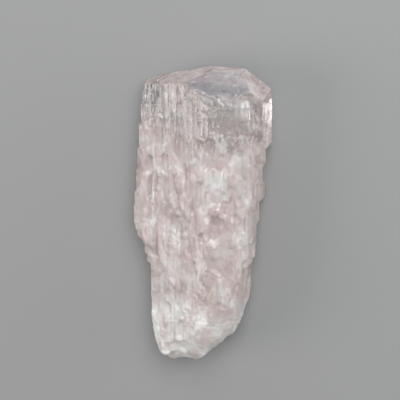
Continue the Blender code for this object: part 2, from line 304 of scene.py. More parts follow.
@dataclass(frozen=True)
class CrystalFinish:
    """Danburite, from clear to milky."""

    ior: float = 1.63
    tint: Triple = (0.90, 0.77, 0.75)
    tint_density: float = 6.0
    clear_roughness: float = 0.02
    etched_roughness: float = 0.3
    speck_roughness: float = 0.06
    milk_pale: Triple = (0.86, 0.87, 0.85)
    milk_pink: Triple = (0.85, 0.66, 0.64)
    # The colour of the painted shade in cracks, grooves and pits.
    painted_shade_color: Triple = (0.22, 0.20, 0.20)
    milk_transmission: float = 0.45
    milk_roughness: float = 0.4

    veil: Grain = Grain(0.35, 0.7, 3.0)
    grain: Grain = Grain(1.5, 0.7)
    speck: Grain = Grain(3.0, 0.8, roughness=0.6)
    needle: Grain = Grain(2.2, 0.12, 1.0)
    veil_depth: float = 0.5
    plane_scale: float = 0.45
    plane_depth: float = 0.12
    texture_shares: Triple = (0.4, 0.35, 0.35)
    texture_step: Step = (0.0, 0.4)
    texture_depth: float = 1.1

    rugged: Grain = Grain(0.3, step=(0.46, 0.62, 0.1, 1.2))
    rugged_rise: Step = (-12.0, 0.0, 0.3, 1.0)
    rugged_white: float = 0.8
    rugged_least: float = 0.1

    bend_along: float = 0.75
    bend_scale: float = 0.7
    bend: float = 1.6
    feather: Grain = Grain(0.5, step=(0.5, 0.6))
    feather_width: float = 0.07
    feather_depth: float = 0.4
    fleck: Grain = Grain(1.8, 0.45, step=(0.66, 0.72))
    fleck_depth: float = 0.5
    # Painted shade of small pits.
    pit_shade: Grain = Grain(2.2, 0.7, 1.0, step=(0.7, 0.78))
    pit_shade_depth: float = 0.6

    facets: tuple[Pair, ...] = ((1.2, 0.14), (3.0, 0.26))
    facet_along: float = 0.65
    facet_step: Step = (0.25, 0.8)
    bump_strength: float = 0.3
    bump_grain: float = 0.6
    bump_step: Step = (0.2, 0.9, 0.04, 0.94)

    pale_step: Step = (0.4, 0.6)
    pale_mottle: float = 0.75
    # How much paler the relief's edges and pinker its hollows are: painted highlight and painted shade.
    pale_crest: float = 0.08
    pale_white: float = 1.2
    milk_step: Step = (0.1, 0.5)
    milk_mottle: float = 1.7
    milk_white: float = 0.5
    # How much milkier the painted shade makes the skin, so that it shows.
    milk_painted_shade: float = 0.9
    # How much milkier the relief's painted highlight makes its etched edges.
    milk_crest: float = 0.06

    def make(self) -> bpy.types.Material:
        """Makes the material.

        Returns:
            The finish of the skin, which reads the skin's five fields.
        """
        nodes = Nodes("danburite")
        milk = nodes.field("milk")
        crest = nodes.field("crest")
        # The white field holds the white patches and the base, and also the ridges' painted highlights.
        white = nodes.field("white")
        spot = Spot(
            nodes=nodes,
            bent=nodes.warp(nodes.stretch(self.bend_along), self.bend_scale, self.bend),
            etch=nodes.field("etch"),
            rugged=self._rugged(nodes, white),
            grain=self.grain.read(nodes),
            speck=self.speck.read(nodes),
        )
        mottle = self._mottle(spot)
        white = white + self._feathers(spot) + self._flecks(spot)
        # Painted shade: of the cracks and grooves along the ridges, and of small pits.
        painted_shade = (nodes.field("painted_shade") + self._pit_shade(spot)).clamped()
        pale = mottle.span(*self.pale_step) * self.pale_mottle
        # Paler on the relief's edges and pinker in its hollows: painted highlight and painted shade.
        pale = (pale + crest * self.pale_crest + white * self.pale_white).clamped()
        # Where there is painted shade, the milk's colour goes to the painted shade colour.
        color = nodes.blend(painted_shade, nodes.blend(pale, self.milk_pink, self.milk_pale), self.painted_shade_color)
        cloudy = milk + (mottle - MIDDLE) * self.milk_mottle * milk.span(*self.milk_step)
        # The painted shade, and the relief's painted highlight and shade, also change how milky the skin
        # is.
        marked = white * self.milk_white + painted_shade * self.milk_painted_shade + crest * self.milk_crest * spot.etch
        rough = spot.etch * (self.etched_roughness + self.speck_roughness * spot.speck)
        clear = {
            "Base Color": WHITE,
            "Roughness": rough + self.clear_roughness,
            "Transmission Weight": 1.0,
            "IOR": self.ior,
            "Normal": self._normal(spot),
        }
        milky = {
            "Base Color": color,
            "Roughness": self.milk_roughness,
            "Transmission Weight": self.milk_transmission,
        }
        shaders = {1: nodes.principled(clear), 2: nodes.principled({**clear, **milky})}
        shaders[0] = (cloudy + marked).clamped()
        absorbed = {"Color": (*self.tint, 1.0), "Density": self.tint_density}
        return nodes.finish(
            {
                "Surface": nodes.node("ShaderNodeMixShader", None, shaders),
                "Volume": nodes.node("ShaderNodeVolumeAbsorption", None, absorbed),
            }
        )

    def _rugged(self, nodes: Nodes, white: Wire) -> Wire:
        """How strong the fine pattern is: in patches, and less where it is white and near the base."""
        patches = self.rugged.read(nodes) - white.high(0.0) * self.rugged_white
        return patches * nodes.height().span(*self.rugged_rise)

    def _mottle(self, spot: Spot) -> Wire:
        """Mixes the pattern of the milk.

        Args:
            spot: The spot of the skin.

        Returns:
            How pale it is, around the middle.
        """
        veil = self.veil.read(spot.nodes) - MIDDLE
        plane = spot.nodes.cells(spot.bent, self.plane_scale) - MIDDLE
        noises = (spot.grain, spot.speck, self.needle.read(spot.nodes))
        texture = sum((part - MIDDLE) * share for part, share in zip(noises, self.texture_shares))
        texture = texture * spot.rugged.high(self.rugged_least) * spot.etch.span(*self.texture_step)
        return MIDDLE + veil * self.veil_depth + plane * self.plane_depth + texture * self.texture_depth

    def _feathers(self, spot: Spot) -> Wire:
        """Thin white feathers along inner planes."""
        seams = spot.nodes.seams(spot.bent, self.plane_scale, self.feather_width)
        return seams * self.feather.read(spot.nodes) * self.feather_depth

    def _flecks(self, spot: Spot) -> Wire:
        """Small white flecks where the skin is etched."""
        return self.fleck.read(spot.nodes) * spot.etch * self.fleck_depth

    def _pit_shade(self, spot: Spot) -> Wire:
        """Painted shade of small pits, in the rugged patches."""
        return self.pit_shade.read(spot.nodes) * spot.rugged * self.pit_shade_depth

    def _normal(self, spot: Spot) -> Wire:
        """Leans small flat areas of the skin at random, and grains it, where it is etched.

        Args:
            spot: The spot of the skin.

        Returns:
            The normal.
        """
        nodes = spot.nodes
        normal = nodes.node("ShaderNodeNewGeometry", output="Normal")
        place = nodes.stretch(self.facet_along)
        for scale, tilt in self.facets:
            lean = nodes.sway(nodes.cells(place, scale), spot.etch.span(*self.facet_step) * tilt)
            normal = nodes.vector("ADD", {0: normal, 1: lean})
        normal = nodes.vector("NORMALIZE", {0: normal})
        height = spot.grain * self.bump_grain + spot.speck * (1.0 - self.bump_grain)
        height = height * spot.etch.span(*self.bump_step)
        return nodes.bump({"Strength": self.bump_strength, "Height": height, "Normal": normal})


@dataclass(frozen=True)
class CloudFinish:
    """The milky clouds inside the body."""

    pale: Triple = (0.95, 0.93, 0.91)
    pink: Triple = (0.86, 0.74, 0.72)
    roughness: float = 0.6
    veil: Grain = Grain(0.3, 0.6, 5.0, 0.6)
    grain: Grain = Grain(1.3, 0.6, 4.0, 0.65)
    veil_share: float = 0.6
    pale_step: Step = (0.4, 0.6)
    alpha_step: Step = (0.42, 0.6, 0.1, 0.85)

    def make(self) -> bpy.types.Material:
        """Makes the material.

        Returns:
            The finish of the clouds, which let light through between them.
        """
        nodes = Nodes("inner_cloud")
        grain = self.grain.read(nodes)
        mottle = self.veil.read(nodes) * self.veil_share + grain * (1.0 - self.veil_share)
        inputs = {
            "Base Color": nodes.blend(grain.span(*self.pale_step), self.pink, self.pale),
            "Roughness": self.roughness,
            "Alpha": mottle.span(*self.alpha_step),
        }
        return nodes.finish({"Surface": nodes.principled(inputs)})


@dataclass(frozen=True)
class FloorFinish:
    """A matt pale floor."""

    color: Triple = (0.25, 0.253, 0.252)
    shade: float = 0.96
    roughness: float = 0.75
    soft: Grain = Grain(0.01)
    grain: Grain = Grain(0.8, detail=4.0)
    bump_strength: float = 0.1

    def make(self) -> bpy.types.Material:
        """Makes the material.

        Returns:
            The floor's finish, with a faint grain.
        """
        nodes = Nodes("pale_floor")
        shaded = tuple(part * self.shade for part in self.color)
        inputs = {
            "Base Color": nodes.blend(self.soft.read(nodes), shaded, self.color),
            "Roughness": self.roughness,
            "Normal": nodes.bump({"Strength": self.bump_strength, "Height": self.grain.read(nodes)}),
        }
        return nodes.finish({"Surface": nodes.principled(inputs)})


def smooth(values: np.ndarray, start: float, end: float) -> np.ndarray:
    """Follows a smooth step from 0 at start to 1 at end."""
    part = np.clip((values - start) / (end - start), 0.0, 1.0)
    return part * part * (3.0 - 2.0 * part)


@dataclass(frozen=True)
class Waves:
    """Gradient noise: waves per millimetre along each axis, which of many like noises, and its height."""

    scale: Triple
    shift: float
    height: float = 1.0

    def read(self, points: np.ndarray) -> np.ndarray:
        """Reads the noise, between about minus and plus its height, at points in millimetres."""
        places = points * np.array(self.scale) + self.shift
        return self.height * np.array([noise.noise(place) for place in places.tolist()])


@dataclass(frozen=True)
class Zones:
    """The skin's points, normals and ragged noise, and how far each point belongs to four zones."""

    points: np.ndarray
    normals: np.ndarray
    ragged: np.ndarray
    head: np.ndarray
    base: np.ndarray
    faces: np.ndarray
    dome: np.ndarray


@dataclass(frozen=True)
class Hillocks:
    """Small pyramids with flat sides, as an etched or stepped crystal face has.

    Scale is in pyramids per millimetre, and shift is which of many like patterns it is. Steep
    is how quickly the sides fall off, and along the share of that along the crystal.
    """

    height: float
    scale: Triple
    shift: float
    steep: float = 1.1
    along: float = 0.8
    spread: float = 9.0

    def read(self, points: np.ndarray) -> np.ndarray:
        """Reads the pyramids.

        Args:
            points: The points, in millimetres.

        Returns:
            The height at each point.
        """
        places = points * np.array(self.scale) + self.shift
        heights = []
        for x, y, z in places.tolist():
            tops = []
            for top in noise.voronoi((x, y, z))[1]:
                away = max(abs(x - top[0]), abs(y - top[1]) * self.along, abs(z - top[2]))
                tops.append(noise.cell(top * self.spread) - self.steep * away)
            heights.append(max(tops))
        return self.height * np.array(heights)


@dataclass(frozen=True)
class Face:
    """A flat end face: a point on it, its outward normal, and how near and how level with it counts."""

    point: Triple
    normal: Triple
    near: Pair = (0.05, 0.3)
    level: Pair = (0.86, 0.96)

    def holds(self, points: np.ndarray, normals: np.ndarray) -> np.ndarray:
        """Works out what lies on the face.

        Args:
            points: The skin's points.
            normals: Their outward normals.

        Returns:
            How far each point belongs to the face, from 0 to 1.
        """
        normal = np.array(self.normal) / np.linalg.norm(self.normal)
        depth = (np.array(self.point) - points) @ normal
        return (1.0 - smooth(np.abs(depth), *self.near)) * smooth(normals @ normal, *self.level)


TOP_STRIP = Face((0.0, 29.75, 6.0), (0.0, 1.0, 0.0))
FRONT_DOME = Face((0.0, 29.75, 7.9), (0.0, 0.750, 0.662))
BACK_DOME = Face((0.0, 29.75, 4.1), (0.0, 0.493, -0.870))
LEFT_END = Face((-2.18, 27.9, 9.9), (-0.287, 0.952, 0.107))
RIGHT_END = Face((10.12, 28.05, 9.7), (0.693, 0.721, 0.0))
END_FACES = (TOP_STRIP, FRONT_DOME, BACK_DOME, LEFT_END, RIGHT_END)


@dataclass(frozen=True)
class Ridge:
    """A line of the front from (x, y) to (x, y): raised or sunk, with a painted highlight along it where it
    is whiter than the rest and painted shade where it is darker.

    Sway is how far it bends to the side. Whole is the part that always stands, and ragged the
    part that comes and goes. Its ends fade over a share of its length, or over fade_most.
    """

    start: Pair
    end: Pair
    width: float
    height: float
    tone: float = 0.0
    sway: float = 0.15
    whole: float = 0.7
    ragged: float = 0.9
    fade: float = 0.2
    fade_most: float = 0.6

    def peak(self, points: np.ndarray, ragged: np.ndarray) -> np.ndarray:
        """Works out how near the ridge's middle each point is.

        Args:
            points: The skin's points.
            ragged: Noise that bends the ridge and breaks it up.

        Returns:
            About 1 on the ridge, and 0 away from it.
        """
        start, end = np.array(self.start), np.array(self.end)
        way = end - start
        length = np.linalg.norm(way)
        flat = points[:, :2] - start
        along = flat @ way / length
        aside = (flat @ np.array((way[1], -way[0]))) / length + self.sway * ragged
        soft = min(self.fade_most, self.fade * length)
        fade = smooth(along, -soft, soft) * (1.0 - smooth(along, length - soft, length + soft))
        return np.exp(-((aside / self.width) ** 2)) * (self.whole + self.ragged * ragged) * fade


RIDGES = (
    Ridge((-8.12, 14.6), (-8.5, 5.4), 0.2, 0.3, 0.9),
    Ridge((-8.5, 5.4), (-9.1, -5.0), 0.2, 0.3, 0.7),
    Ridge((-2.78, -3.4), (-2.62, -13.6), 0.24, 0.3, 0.4),
    Ridge((6.19, -8.0), (6.21, -14.4), 0.26, 0.3, 0.4),
    Ridge((-4.4, 6.0), (-4.6, -2.5), 0.22, 0.15, 0.2),
    Ridge((-11.0, 13.0), (-11.3, 1.0), 0.2, 0.15, 0.2),
    Ridge((-10.2, 13.5), (-10.4, 2.0), 0.16, -0.12, -0.25),
    Ridge((-9.3, 8.0), (-9.6, -3.0), 0.16, -0.12, -0.25),
    Ridge((1.6, 3.0), (1.5, -6.0), 0.22, 0.12),
    Ridge((9.0, 6.0), (9.2, -5.0), 0.22, 0.12),
    Ridge((-12.5, 9.2), (-8.6, 10.4), 0.12, -0.16, 0.4),
    Ridge((7.4, -17.8), (8.3, -18.8), 0.14, -0.25, -0.5),
    Ridge((8.3, -18.8), (8.8, -19.9), 0.14, -0.25, -0.5),
    Ridge((-9.2, 18.7), (-6.6, 21.5), 0.15, -0.15, -0.5),
    Ridge((11.6, 19.1), (12.9, 22.6), 0.15, -0.15, -0.6),
    Ridge((12.6, 21.9), (12.9, 20.3), 0.45, 0.1, 0.7),
    Ridge((1.2, 18.8), (2.9, 18.6), 0.16, -0.1, 0.5),
    Ridge((2.9, 18.6), (4.6, 19.4), 0.16, -0.1, 0.5),
    Ridge((2.3, 23.6), (4.9, 23.4), 0.2, -0.2, -0.3),
    Ridge((-5.5, 25.5), (-5.5, 20.5), 0.35, 0.0, 0.7),
    Ridge((-4.1, 25.8), (-4.2, 22.4), 0.25, 0.0, 0.6),
    Ridge((8.5, 26.2), (8.5, 23.0), 0.22, 0.0, 0.5),
    Ridge((9.3, 26.1), (9.3, 23.2), 0.22, 0.0, 0.5),
    Ridge((10.25, 25.8), (10.3, 22.2), 0.22, 0.0, 0.6),
    Ridge((11.1, 24.8), (11.1, 21.8), 0.2, 0.0, 0.3),
    Ridge((0.6, 26.8), (2.8, 26.3), 0.2, 0.0, -0.9),
    Ridge((2.8, 26.3), (5.0, 26.0), 0.2, 0.0, -1.0),
    Ridge((5.0, 26.0), (7.6, 25.4), 0.14, 0.0, -0.3),
    Ridge((-1.6, 28.2), (-0.9, 27.2), 0.18, 0.0, -0.6),
    Ridge((-2.2, 27.6), (-1.4, 26.6), 0.24, 0.0, 0.5),
    Ridge((7.2, 28.1), (9.4, 28.3), 0.14, 0.0, 0.6),
    Ridge((9.7, 27.0), (10.9, 26.7), 0.14, 0.0, 0.5),
    Ridge((8.4, 26.2), (10.3, 27.7), 0.18, 0.0, 0.35),
)


@dataclass(frozen=True)
class Patch:
    """A place in the body that is whiter, or clearer where the amount is below 0."""

    middle: Pair
    reach: Pair
    amount: float
    falloff: float = 1.2

    def amounts(self, points: np.ndarray) -> np.ndarray:
        """How much the patch adds at each point."""
        away = (points[:, :2] - np.array(self.middle)) / np.array(self.reach)
        return self.amount * np.exp(-self.falloff * (away**2).sum(axis=1))


PATCHES = (
    Patch((4.8, 9.6), (3.0, 2.6), 0.35),
    Patch((5.3, 11.3), (0.7, 1.6), 0.3),
    Patch((5.8, 17.8), (2.0, 1.4), 0.25),
    Patch((-2.9, 10.9), (1.1, 3.0), 0.2),
    Patch((9.8, 0.0), (2.2, 1.6), 0.2),
    Patch((-6.6, -9.3), (2.5, 4.0), 0.3),
    Patch((2.2, -9.5), (3.9, 2.2), 0.2),
    Patch((-4.8, -1.1), (1.8, 1.8), 0.12),
    Patch((5.2, 2.3), (1.5, 2.4), -0.3),
    Patch((-0.3, -4.4), (2.3, 2.0), -0.25),
    Patch((8.2, -8.5), (1.4, 2.6), -0.3),
    Patch((3.4, -13.8), (1.6, 1.6), -0.2),
    # The next two patches make the left rib clearer and pinker: a painted reflection of a warm pink
    # surround seen through the crystal.
    Patch((-10.7, -1.8), (1.4, 2.8), -0.3),
    Patch((-10.8, 8.0), (1.5, 7.0), -0.5),
    Patch((0.2, 11.8), (1.8, 1.4), -0.2),
    Patch((8.1, 9.9), (1.7, 2.4), -0.2),
    Patch((-6.3, 12.7), (2.0, 1.6), -0.15),
    Patch((-1.4, 3.2), (2.3, 1.8), -0.12),
    Patch((10.5, 12.7), (1.4, 2.8), -0.1),
    Patch((-8.2, 24.4), (1.9, 3.0), -0.7),
    Patch((-5.0, 23.5), (1.0, 2.6), 0.25),
    Patch((8.9, 24.4), (1.6, 1.8), 0.25),
    Patch((8.6, 21.8), (1.8, 2.0), 0.2),
)


@dataclass(frozen=True)
class Split:
    """The crack across the front dome, below which the dome lies deeper and then rises again."""

    start: Pair = (0.5, 26.9)
    end: Pair = (7.8, 25.4)
    drop: float = 0.26
    edge: float = 0.1
    rise: Pair = (0.2, 2.4)
    fade: float = 0.4
    wander: Waves = Waves((1.2, 1.2, 1.2), 33.0, 0.12)

    def depths(self, points: np.ndarray) -> np.ndarray:
        """Works out the step at the crack.

        Args:
            points: The skin's points.

        Returns:
            How deep each of them lies.
        """
        start, end = np.array(self.start), np.array(self.end)
        way = (end - start) / np.linalg.norm(end - start)
        flat = points[:, :2] - start
        below = flat @ np.array((way[1], -way[0])) + self.wander.read(points)
        step = smooth(below, -self.edge, self.edge) * (1.0 - smooth(below, *self.rise))
        return self.drop * step * smooth(flat @ way, -self.fade, self.fade)


@dataclass(frozen=True)
class Dish:
    """A shallow dish in the front dome: its middle, its half sizes and its depth."""

    middle: Triple = (6.4, 26.8, 11.3)
    reach: Triple = (1.6, 1.0, 1.2)
    drop: float = 0.14

    def depths(self, points: np.ndarray) -> np.ndarray:
        """How deep each point lies."""
        away = np.linalg.norm((points - np.array(self.middle)) / np.array(self.reach), axis=1)
        return self.drop * np.maximum(1.0 - away**2, 0.0)


@dataclass(frozen=True)
class Ripples:
    """Curved waves round the place where the base broke, and how far from it they begin and end."""

    height: float = 0.04
    middle: Pair = (4.4, -22.0)
    gap: float = 1.05
    begin: Pair = (2.2, 3.6)
    end: Pair = (5.0, 8.0)
    wander: Waves = Waves((0.35, 0.35, 0.35), 60.0, 1.1)

    def heights(self, points: np.ndarray) -> np.ndarray:
        """Works out the waves.

        Args:
            points: The skin's points.

        Returns:
            How high each of them lies.
        """
        away = points[:, :2] - np.array(self.middle)
        radius = np.hypot(away[:, 0], away[:, 1]) + self.wander.read(points)
        near = smooth(radius, *self.begin) * (1.0 - smooth(radius, *self.end))
        return self.height * near * np.sin(radius * 2.0 * math.pi / self.gap)


@dataclass(frozen=True)
class Relief:
    """The fine relief of the skin, in millimetres. The steps of head and base are heights along Y."""

    coarse: Hillocks = Hillocks(0.07, (0.75, 0.55, 0.75), 7.0)
    fine: Hillocks = Hillocks(0.055, (1.8, 1.4, 1.8), 19.0)
    fine_least: float = 0.3
    ledges: Hillocks = Hillocks(0.07, (0.45, 1.1, 0.45), 63.0, 1.0)
    ripples: Ripples = Ripples()
    lines: Waves = Waves((2.3, 0.06, 2.3), 11.0, 0.07)
    fine_lines: Waves = Waves((4.6, 0.12, 4.6), 5.0, 0.042)
    lines_least: float = 0.1
    split: Split = Split()
    dish: Dish = Dish()
    head_step: Pair = (15.5, 20.5)
    head_wander: Waves = Waves((0.16, 0.1, 0.16), 3.0, 2.6)
    head_fringe: Waves = Waves((0.5, 0.2, 0.5), 13.0, 2.0)
    base_step: Pair = (-19.0, -13.0)
    base_wander: Waves = Waves((0.16, 0.1, 0.16), 30.0, 2.6)
    base_calm: float = 0.5
    front_step: Pair = (0.35, 0.7)
    ragged: Waves = Waves((0.9, 0.9, 0.9), 51.0)

    def zones(self, points: np.ndarray, normals: np.ndarray) -> Zones:
        """Finds the clear head, the broken base, the flat end faces and the front dome.

        Args:
            points: The skin's points.
            normals: Their outward normals.

        Returns:
            How far each point belongs to each of them.
        """
        wander = self.head_wander.read(points) + self.head_fringe.read(points)
        head = smooth(points[:, 1] + wander, *self.head_step)
        base = 1.0 - smooth(points[:, 1] + self.base_wander.read(points), *self.base_step)
        faces = np.max([face.holds(points, normals) for face in END_FACES], axis=0)
        dome = FRONT_DOME.holds(points, normals)
        return Zones(points, normals, self.ragged.read(points), head, base, faces, dome)

    def heights(self, zones: Zones) -> np.ndarray:
        """Works out how far each point moves along its normal.

        Args:
            zones: The skin's points and zones.

        Returns:
            The move of each point.
        """
        points = zones.points
        body = (1.0 - zones.head) * (1.0 - self.base_calm * zones.base)
        lines = self.lines.read(points) + self.fine_lines.read(points)
        move = self.coarse.read(points) * body
        move += self.fine.read(points) * (self.fine_least + (1.0 - self.fine_least) * body)
        move += lines * (self.lines_least + (1.0 - self.lines_least) * zones.head)
        move += (self.ledges.read(points) + self.ripples.heights(points)) * zones.base
        front = smooth(zones.normals[:, 2], *self.front_step)
        for ridge in RIDGES:
            move += ridge.height * ridge.peak(points, zones.ragged) * front
        sunk = (self.split.depths(points) + self.dish.depths(points)) * zones.dome
        return move * (1.0 - zones.faces) - sunk


@dataclass(frozen=True)
class Crack:
    """A thin gap inside the crystal: its middle, the way it faces, its half sizes and its bend.

    Etch is how rough its two walls are, ragged how uneven its rim is, and wave how high its
    waves are against its bend.
    """

    middle: Triple
    normal: Triple
    reach: Pair
    bend: float = 0.15
    gap: float = 0.03
    etch: float = 0.9
    rings: int = 5
    sides: int = 20
    ragged: float = 0.35
    wave: float = 1.2
    wave_scale: float = 0.9
    wave_shift: float = 7.0

    def _spot(self, bm: bmesh.types.BMesh, ring: int, side: int, wall: float) -> bmesh.types.BMVert:
        """Adds one point of a wall.

        Args:
            bm: The crystal's mesh, in metres.
            ring: Which ring it is on, from 0 in the middle.
            side: Where on the ring it is.
            wall: -1 or 1 for the two walls, or 0 where they meet.

        Returns:
            The point.
        """
        middle = Vector(self.middle)
        normal = Vector(self.normal).normalized()
        across = Vector((0.0, 1.0, 0.0)).cross(normal).normalized()
        part = ring / self.rings
        angle = 2.0 * math.pi * side / self.sides
        rim = noise.noise(Vector((math.cos(angle), math.sin(angle), 0.0)) + middle)
        edge = part * (1.0 + self.ragged * rim)
        x, y = edge * self.reach[0] * math.cos(angle), edge * self.reach[1] * math.sin(angle)
        wave = noise.noise(Vector((x * self.wave_scale, y * self.wave_scale, self.wave_shift)) + middle)
        height = self.bend * (part * part + self.wave * wave) + wall * self.gap * (1.0 - part * part)
        place = middle + across * x + normal.cross(across) * y + normal * height
        vert = bm.verts.new(place * MM)
        vert[bm.verts.layers.float["etch"]] = self.etch
        return vert

    def add(self, bm: bmesh.types.BMesh) -> None:
        """Adds the gap's walls, which face into the gap.

        Args:
            bm: The crystal's mesh, in metres.
        """
        sides = range(self.sides)
        rim = [self._spot(bm, self.rings, side, 0.0) for side in sides]
        for wall in (-1.0, 1.0):
            tip = self._spot(bm, 0, 0, wall)
            grid = [[self._spot(bm, ring, side, wall) for side in sides] for ring in range(1, self.rings)]
            grid.append(rim)
            for side in sides:
                after = (side + 1) % self.sides
                faces = [(tip, grid[0][side], grid[0][after])]
                for inner, outer in zip(grid, grid[1:]):
                    faces.append((inner[side], outer[side], outer[after]))
                    faces.append((inner[side], outer[after], inner[after]))
                for face in faces:
                    bm.faces.new(face if wall < 0.0 else face[::-1])


CRACKS = (
    Crack((6.1, 26.0, 10.9), (0.15, 0.42, 0.9), (1.7, 1.1)),
    Crack((7.0, 24.9, 11.6), (-0.35, 0.5, 0.75), (1.2, 0.9)),
    Crack((3.1, 25.9, 10.8), (0.16, 0.88, -0.42), (2.5, 0.8), 0.2, 0.04),
    Crack((8.3, 27.6, 9.2), (0.1, 0.9, -0.3), (1.3, 0.4)),
    Crack((10.2, 26.2, 10.3), (-0.1, 0.85, -0.3), (0.8, 0.35)),
    Crack((3.0, 18.6, 11.3), (0.1, 0.85, -0.3), (1.6, 0.6)),
    Crack((2.8, 20.2, 10.5), (-0.45, 0.25, 0.8), (1.2, 1.0)),
    Crack((3.9, 22.9, 12.2), (0.35, 0.75, 0.3), (1.1, 0.5)),
    Crack((-6.9, 20.2, 6.2), (0.5, 0.75, 0.1), (1.4, 0.5)),
    Crack((-8.8, 19.4, 5.4), (0.0, 0.9, -0.1), (1.4, 0.3)),
    Crack((1.2, 22.6, 7.6), (-0.5, 0.45, 0.75), (3.0, 2.2), 0.3),
    Crack((9.9, 21.5, 7.6), (0.6, 0.25, 0.75), (1.6, 2.4), 0.3),
    Crack((11.4, 21.2, 8.3), (0.85, 0.4, 0.3), (0.6, 1.3), 0.1),
)


@dataclass(frozen=True)
class Wisps:
    """Small gaps scattered through the middle of the head, each value drawn between two others."""

    count: int = 16
    seed: int = 5
    middle_low: Triple = (-4.5, 15.5, 3.0)
    middle_high: Triple = (8.5, 22.5, 9.5)
    normal_low: Triple = (-1.0, -0.4, -0.6)
    normal_high: Triple = (1.0, 1.0, 1.0)
    reach_low: Pair = (0.35, 0.3)
    reach_high: Pair = (1.0, 1.4)
    bend: Pair = (0.05, 0.3)
    gap: float = 0.025

    def cracks(self) -> list[Crack]:
        """Scatters the gaps.

        Returns:
            The same gaps each time.
        """
        rng = random.Random(self.seed)

        def draw(lows: tuple[float, ...], highs: tuple[float, ...]) -> tuple[float, ...]:
            """Draws each value between its low and its high."""
            return tuple(rng.uniform(low, high) for low, high in zip(lows, highs))

        made = []
        for _ in range(self.count):
            middle = draw(self.middle_low, self.middle_high)
            normal = draw(self.normal_low, self.normal_high)
            reach = draw(self.reach_low, self.reach_high)
            made.append(Crack(middle, normal, reach, rng.uniform(*self.bend), self.gap))
        return made


@contextmanager
def editing(mesh: bpy.types.Mesh) -> Iterator[bmesh.types.BMesh]:
    """Opens a mesh for editing, and writes it back afterwards.

    Args:
        mesh: The mesh.

    Yields:
        What to edit.
    """
    bm = bmesh.new()
    bm.from_mesh(mesh)
    yield bm
    bm.to_mesh(mesh)
    bm.free()


def copy_solid() -> bpy.types.Mesh:
    """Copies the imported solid.

    Returns:
        A mesh with the solid's shape, whose faces are joined.
    """
    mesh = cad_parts["danburite_crystal"].data.copy()
    with editing(mesh) as bm:
        bmesh.ops.remove_doubles(bm, verts=bm.verts, dist=WELD)
    return mesh


def apply_modifiers(thing: bpy.types.Object) -> bpy.types.Mesh:
    """Makes a mesh of what an object's modifiers show."""
    graph = bpy.context.evaluated_depsgraph_get()
    return bpy.data.meshes.new_from_object(thing.evaluated_get(graph))


def read_mesh(mesh: bpy.types.Mesh) -> tuple[np.ndarray, np.ndarray]:
    """Reads a mesh.

    Args:
        mesh: The mesh, in metres.

    Returns:
        Its points, in millimetres, and their outward normals.
    """
    points = np.empty(len(mesh.vertices) * 3)
    normals = np.empty(len(mesh.vertices) * 3)
    mesh.vertices.foreach_get("co", points)
    mesh.vertex_normals.foreach_get("vector", normals)
    return points.reshape(-1, 3) / MM, normals.reshape(-1, 3)


def write_points(mesh: bpy.types.Mesh, points: np.ndarray) -> None:
    """Moves a mesh's points to these, which are in millimetres."""
    mesh.vertices.foreach_set("co", (points * MM).ravel())


class Web:
    """The edges of a mesh, which say what points lie beside each other."""

    def __init__(self, mesh: bpy.types.Mesh) -> None:
        """Reads the edges."""
        edges = np.empty(len(mesh.edges) * 2, dtype=np.int64)
        mesh.edges.foreach_get("vertices", edges)
        first, second = edges.reshape(-1, 2).T
        self.ends = np.concatenate((first, second))
        self.others = np.concatenate((second, first))
        self.links = np.maximum(np.bincount(self.ends, minlength=len(mesh.vertices)), 1)

    def around(self, points: np.ndarray) -> np.ndarray:
        """Finds the middle of each point's neighbours.

        Args:
            points: The mesh's points.

        Returns:
            A middle for each of them.
        """
        near = points[self.others]
        total = np.stack([np.bincount(self.ends, near[:, axis], len(points)) for axis in range(3)], axis=1)
        return total / self.links[:, None]

    def relax(self, points: np.ndarray, amount: np.ndarray, rounds: int) -> np.ndarray:
        """Wears the mesh's edges down.

        Args:
            points: The mesh's points.
            amount: How much of the way to its neighbours' middle each point goes.
            rounds: How many times it goes.

        Returns:
            The moved points.
        """
        for _ in range(rounds):
            points = points + (self.around(points) - points) * amount[:, None]
        return points


